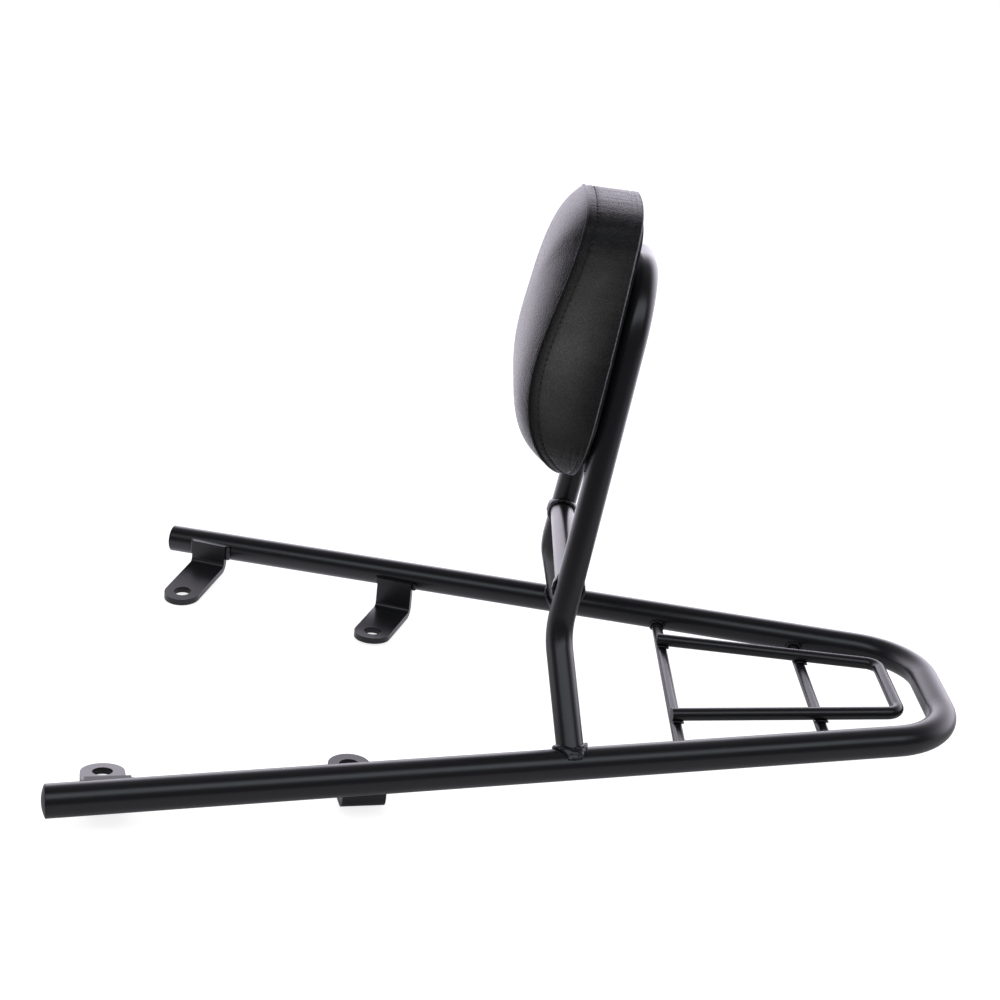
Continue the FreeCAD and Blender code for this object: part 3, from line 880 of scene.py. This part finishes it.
    def lay_stitches(self, skin: BVHTree) -> None:
        """Sew the row of top stitches into its groove in the band."""
        ring = self.ring(skin, self.stitch_back)
        lengths = [(b[0] - a[0]).length for a, b in zip(ring, ring[1:] + ring[:1])]
        count = int(sum(lengths) / (self.stitch_pitch * MM))
        shape = bmesh.new()
        walked, index = 0.0, 0
        for number in range(count):
            target = number * sum(lengths) / count
            while walked + lengths[index] < target:
                walked += lengths[index]
                index += 1
            (start, out), (end, _) = ring[index], ring[(index + 1) % len(ring)]
            along = (end - start).normalized()
            place = start + along * (target - walked)
            out = (out - along * out.dot(along)).normalized()
            made = bmesh.ops.create_uvsphere(shape, u_segments=6, v_segments=4, radius=MM)["verts"]
            turn = Matrix((along, out, along.cross(out))).transposed().to_4x4()
            half_length = self.stitch_share * self.stitch_pitch
            size = Matrix.Diagonal((half_length, self.stitch_height, self.stitch_width, 1.0))
            seat = Matrix.Translation(place + out * self.stitch_lift * MM)
            bmesh.ops.transform(shape, matrix=seat @ turn @ size, verts=made)
        new_piece("pad_top_stitches", shape, self.thread)

    def fit_plate(self) -> None:
        """Trim the plate behind the pad to the sewn outline, so that the hem covers its edge."""
        shape = bmesh.new()
        shape.from_mesh(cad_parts["pad_back_cover"].data)
        bmesh.ops.remove_doubles(shape, verts=shape.verts, dist=MERGE_DISTANCE)
        to_rack = self.plane.matrix()
        bmesh.ops.transform(shape, matrix=to_rack.inverted(), verts=shape.verts)
        for vert in shape.verts:
            away = Vector((vert.co.y, vert.co.z - self.middle))
            limit = self.reach(math.atan2(away.y, away.x)) - self.plate_gap
            if away.length > limit:
                away *= limit / away.length
                vert.co.y, vert.co.z = away.x, away.y + self.middle
        bmesh.ops.transform(shape, matrix=to_rack, verts=shape.verts)
        plate = new_piece("pad_back_plate", shape, self.plastic)
        plate.data.shade_flat()
        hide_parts("pad_back_cover")


@dataclass(frozen=True)
class WeldBeads:
    """Beads of one kind of joint, laid by hand and coated with the frame."""

    node: str
    coat: bpy.types.Material
    grain_mm: float = 0.6
    swell_mm: float = 0.08
    ripple_mm: float = 2.3
    ripple_depth_mm: float = 0.35
    smoothings: int = 14
    smoothing: float = 0.5

    def build(self) -> None:
        """Melt the plain beads of the frame into soft runs with a rippled face."""
        shape = bmesh.new()
        shape.from_mesh(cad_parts[self.node].data)
        bmesh.ops.remove_doubles(shape, verts=shape.verts, dist=MERGE_DISTANCE)
        bead = new_piece(self.node + "_beads", shape, self.coat)
        melt = bead.modifiers.new("melt", "REMESH")
        melt.mode = "VOXEL"
        melt.voxel_size = self.grain_mm * MM
        depsgraph = bpy.context.evaluated_depsgraph_get()
        molten = bpy.data.meshes.new_from_object(bead.evaluated_get(depsgraph))
        bead.modifiers.remove(melt)
        plain, bead.data = bead.data, molten
        bpy.data.meshes.remove(plain)
        shape = bmesh.new()
        shape.from_mesh(molten)
        for _ in range(self.smoothings):
            bmesh.ops.smooth_vert(shape, verts=shape.verts, factor=self.smoothing,
                                  use_axis_x=True, use_axis_y=True, use_axis_z=True)
        shape.normal_update()
        for vert in shape.verts:
            ripple = noise.noise(vert.co / (self.ripple_mm * MM)) * self.ripple_depth_mm
            vert.co += vert.normal * (self.swell_mm + ripple) * MM
        shape.to_mesh(molten)
        shape.free()
        molten.shade_smooth()
        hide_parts(self.node)
        log.info("%s: %d faces when laid", bead.name, len(molten.polygons))


@dataclass(frozen=True)
class Studio:
    """White sweep, one soft lamp and the camera of the photograph.

    Gloss sees the floor and the room dim in front of the rack and bright behind it. floor_glow rises over
    floor_run, in metres along Y, and room_glow over room_run, the Y part of a direction. ceiling_glow
    takes the room to dark over ceiling_run, the Z part of a direction.
    """

    floor_size: float = 12.0
    floor_front: float = 0.8
    floor_drop: float = 0.0005
    floor_colour: str = "#bcbcbc"
    floor_lift: float = 0.80
    floor_run: tuple[float, float] = (0.05, 0.55)
    floor_glow: tuple[float, float] = (0.10, 2.2)
    white: str = "#ffffff"
    backdrop: str = "#ece7f5"
    room_run: tuple[float, float] = (-0.25, 0.55)
    room_glow: tuple[float, float] = (0.10, 3.4)
    ceiling_run: tuple[float, float] = (0.30, 0.75)
    ceiling_glow: tuple[float, float] = (1.0, 0.08)
    matt_level: float = 0.6
    lamp_place: tuple[float, float, float] = (0.4, -1.42, 1.96)
    lamp_aim: tuple[float, float, float] = (0.4, -0.1, 0.2)
    lamp_size: tuple[float, float] = (4.4, 1.1)
    lamp_watts: float = 27.5
    lamp_colour: str = "#f2f6ff"
    camera_place: tuple[float, float, float] = (0.21156, -1.24264, 0.61299)
    camera_right: tuple[float, float, float] = (0.99459, 0.00554, 0.10371)
    camera_up: tuple[float, float, float] = (-0.09952, 0.33661, 0.93637)
    lens_mm: float = 64.73
    sensor_mm: float = 36.0
    shift: tuple[float, float] = (0.0027, 0.0004)

    def build(self) -> None:
        """Make the floor, the world, the lamp and the camera."""
        self.build_floor()
        self.build_world()
        self.build_lamp()
        self.build_camera()
        bpy.context.scene.view_settings.view_transform = "Standard"

    def build_floor(self) -> None:
        """Lay a floor just under the rack that the eye sees as white, with the rack's shadow on it."""
        shape = bmesh.new()
        bmesh.ops.create_grid(shape, x_segments=1, y_segments=1, size=self.floor_size / 2)
        middle = self.floor_size / 2 - self.floor_front
        bmesh.ops.translate(shape, verts=shape.verts, vec=(0.0, middle, 0.0))
        mesh = bpy.data.meshes.new("studio_floor")
        shape.to_mesh(mesh)
        shape.free()
        floor = bpy.data.objects.new("studio_floor", mesh)
        floor.location.z = CAD_BOX[0].z - self.floor_drop
        bpy.context.scene.collection.objects.link(floor)
        paint, tree = new_material("studio_white")
        ray = add_node(tree, "ShaderNodeLightPath")
        place = add_node(tree, "ShaderNodeTexCoord").outputs["Object"]
        parts = add_node(tree, "ShaderNodeSeparateXYZ", links={0: place})
        far = add_node(tree, "ShaderNodeMapRange",
                       {"From Min": self.floor_run[0], "From Max": self.floor_run[1],
                        "To Min": self.floor_glow[0], "To Max": self.floor_glow[1]},
                       {"Value": parts.outputs["Y"]})
        mirrored = add_node(tree, "ShaderNodeMath", {"operation": "MULTIPLY"},
                            {0: ray.outputs["Is Glossy Ray"], 1: far.outputs["Result"]})
        lift = add_node(tree, "ShaderNodeMath", {"operation": "MULTIPLY_ADD", 1: self.floor_lift},
                        {0: ray.outputs["Is Camera Ray"], 2: mirrored.outputs[0]})
        matt = add_node(tree, "ShaderNodeBsdfDiffuse", {"Color": linear(self.floor_colour)})
        tint = add_node(tree, "ShaderNodeMixRGB",
                        {"Color1": linear(self.backdrop), "Color2": linear(self.white)},
                        {"Fac": ray.outputs["Is Camera Ray"]})
        glow = add_node(tree, "ShaderNodeEmission",
                        links={"Color": tint.outputs["Color"], "Strength": lift.outputs[0]})
        both = add_node(tree, "ShaderNodeAddShader",
                        links={0: matt.outputs["BSDF"], 1: glow.outputs["Emission"]})
        add_node(tree, "ShaderNodeOutputMaterial", links={"Surface": both.outputs["Shader"]})
        mesh.materials.append(paint)

    def build_world(self) -> None:
        """Show the eye plain white and gloss the room, and light matt surfaces evenly."""
        world = bpy.data.worlds.new("studio_world")
        bpy.context.scene.world = world
        world.use_nodes = True
        tree = world.node_tree
        tree.nodes.clear()
        ray = add_node(tree, "ShaderNodeLightPath")
        direction = add_node(tree, "ShaderNodeTexCoord").outputs["Generated"]
        parts = add_node(tree, "ShaderNodeSeparateXYZ", links={0: direction})
        fades = (("Y", self.room_run, self.room_glow), ("Z", self.ceiling_run, self.ceiling_glow))
        glows = []
        for axis, run, glow in fades:
            fade = add_node(tree, "ShaderNodeMapRange",
                            {"From Min": run[0], "From Max": run[1], "To Min": glow[0], "To Max": glow[1],
                             "interpolation_type": "SMOOTHSTEP"}, {"Value": parts.outputs[axis]})
            glows.append(fade.outputs["Result"])
        level = add_node(tree, "ShaderNodeMath", {"operation": "MULTIPLY"}, {0: glows[0], 1: glows[1]})
        room = add_node(tree, "ShaderNodeBackground", {"Color": linear(self.backdrop)},
                        {"Strength": level.outputs[0]})
        even = add_node(tree, "ShaderNodeBackground",
                        {"Color": linear(self.white), "Strength": self.matt_level})
        white = add_node(tree, "ShaderNodeBackground", {"Color": linear(self.white), "Strength": 1.0})
        seen = add_node(tree, "ShaderNodeMath", {"operation": "MAXIMUM"},
                        {0: ray.outputs["Is Camera Ray"], 1: ray.outputs["Is Transmission Ray"]})
        matt = add_node(tree, "ShaderNodeMixShader", links={
            "Fac": ray.outputs["Is Diffuse Ray"], 1: room.outputs["Background"],
            2: even.outputs["Background"]})
        pick = add_node(tree, "ShaderNodeMixShader", links={
            "Fac": seen.outputs[0], 1: matt.outputs["Shader"], 2: white.outputs["Background"]})
        add_node(tree, "ShaderNodeOutputWorld", links={"Surface": pick.outputs["Shader"]})

    def build_lamp(self) -> None:
        """Hang one long soft box above the camera's side, facing the rack."""
        data = bpy.data.lights.new("front_box", "AREA")
        data.shape = "RECTANGLE"
        data.size, data.size_y = self.lamp_size
        data.energy = self.lamp_watts
        data.color = linear(self.lamp_colour)[:3]
        lamp = bpy.data.objects.new("front_box", data)
        lamp.location = self.lamp_place
        facing = Vector(self.lamp_aim) - Vector(self.lamp_place)
        lamp.rotation_euler = facing.to_track_quat("-Z", "Y").to_euler()
        bpy.context.scene.collection.objects.link(lamp)

    def build_camera(self) -> None:
        """Set up the camera where the photograph was taken from."""
        data = bpy.data.cameras.new("photo_camera")
        data.lens = self.lens_mm
        data.sensor_width = self.sensor_mm
        data.shift_x, data.shift_y = self.shift
        camera = bpy.data.objects.new("photo_camera", data)
        right = Vector(self.camera_right).normalized()
        up = Vector(self.camera_up).normalized()
        turn = Matrix((right, up, right.cross(up))).transposed()
        camera.matrix_world = Matrix.Translation(self.camera_place) @ turn.to_4x4()
        bpy.context.scene.collection.objects.link(camera)
        bpy.context.scene.camera = camera


def coat_nodes(finishes: dict[str, bpy.types.Material], usual: bpy.types.Material) -> None:
    """Give every solid of the frame its finish.

    Args:
        finishes: Materials by the start of the solids' names.
        usual: Material of every other solid.
    """
    for name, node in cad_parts.items():
        finish = next((made for start, made in finishes.items() if name.startswith(start)), usual)
        node.data.materials.clear()
        node.data.materials.append(finish)


def main() -> None:
    """Build the rack's pieces in order."""
    logging.basicConfig(level=logging.INFO, format="%(name)s: %(message)s")
    coat = PowderCoat().material()
    vinyl = GrainedVinyl().material()
    zinc = ZincPlate().material()
    plug = MouldedPlastic("ldpe_moulded_black", colour="#0c0c0d", roughness=0.38).material()
    plate = MouldedPlastic("abs_moulded_black", colour="#101011", roughness=0.45).material()
    coat_nodes({
        "rail_end_plug": plug,
        "pad_back_cover": plate,
        "pad_board": Plywood().material(),
        "pad_tee_nuts": zinc,
        "pad_washers": zinc,
        "pad_bolts": zinc,
        "pad_cushion": vinyl,
    }, coat)
    for node in (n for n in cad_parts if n.endswith("_welds")):
        WeldBeads(node, coat).build()
    thread = SewingThread().material()
    rim_highlight = PaintedRimHighlight().material()
    BackrestPad(HoopPlane(), vinyl, thread, rim_highlight, plate).build()
    Studio().build()


if __name__ == "__main__":
    main()
